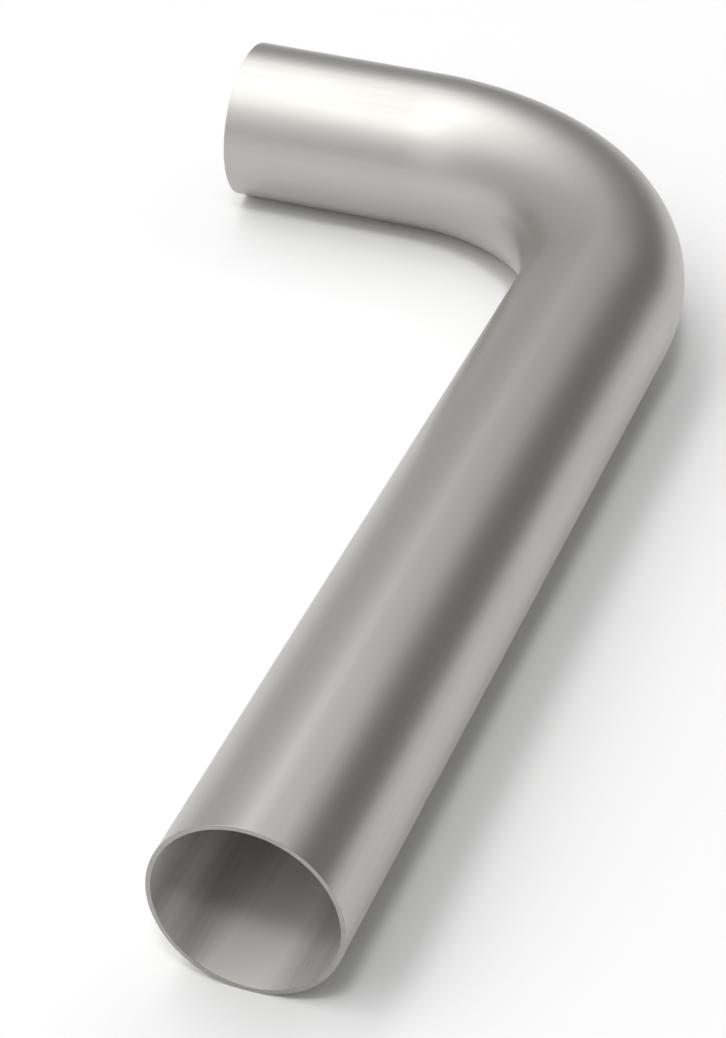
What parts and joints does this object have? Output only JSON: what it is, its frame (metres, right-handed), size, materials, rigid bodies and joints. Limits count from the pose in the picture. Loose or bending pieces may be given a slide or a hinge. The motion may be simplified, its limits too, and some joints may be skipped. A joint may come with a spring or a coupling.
{
  "type": "mandrel bend",
  "caption": "Round steel tube drawn through a smooth quarter turn, with one long and one short straight leg and plain square-cut open ends for joining into pipework.",
  "frame": {"origin": "centre of the long leg's cut end", "axes": "+Y up the long leg's axis towards the bend, the short leg's open end faces -X, +Z square to the plane of the bend; the tube lies flat with the bend's plane level"},
  "size_m": [0.2096, 0.489, 0.0636],
  "materials": {
    "tube_steel": "satin, as drawn, unpainted and unplated"
  },
  "bodies": {
    "root": {"bent_tube": "tube_steel"}
  },
  "joints": []
}
